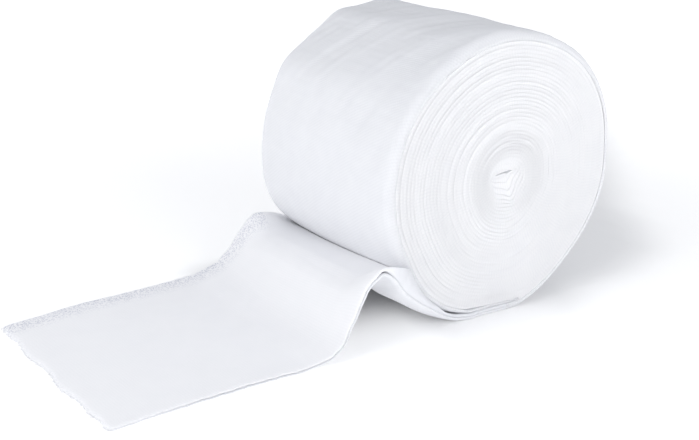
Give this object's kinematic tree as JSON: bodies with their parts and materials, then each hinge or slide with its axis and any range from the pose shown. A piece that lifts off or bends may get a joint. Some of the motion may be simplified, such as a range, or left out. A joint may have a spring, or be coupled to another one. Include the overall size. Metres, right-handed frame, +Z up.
{
  "type": "gauze bandage roll",
  "caption": "Wide coreless roll of soft white gauze bandage standing on its rim, with its loose end drawn out from under it in one standing fold and then flat.",
  "frame": {"origin": "on the surface it rests on, under the roll's axis and in the middle of its width, on the underside of the cloth", "axes": "+Z up, Y along the roll's axis, the loose end runs to -X, and the end face that the picture shows looks to -Y"},
  "size_m": [0.2507, 0.1093, 0.1241],
  "materials": {
    "gauze": "soft matt bleached cotton gauze in two plies, slightly blue white, with a fine open weave and fine crinkles"
  },
  "bodies": {
    "root": {"wound_roll": "gauze", "loose_end": "gauze"}
  },
  "joints": []
}
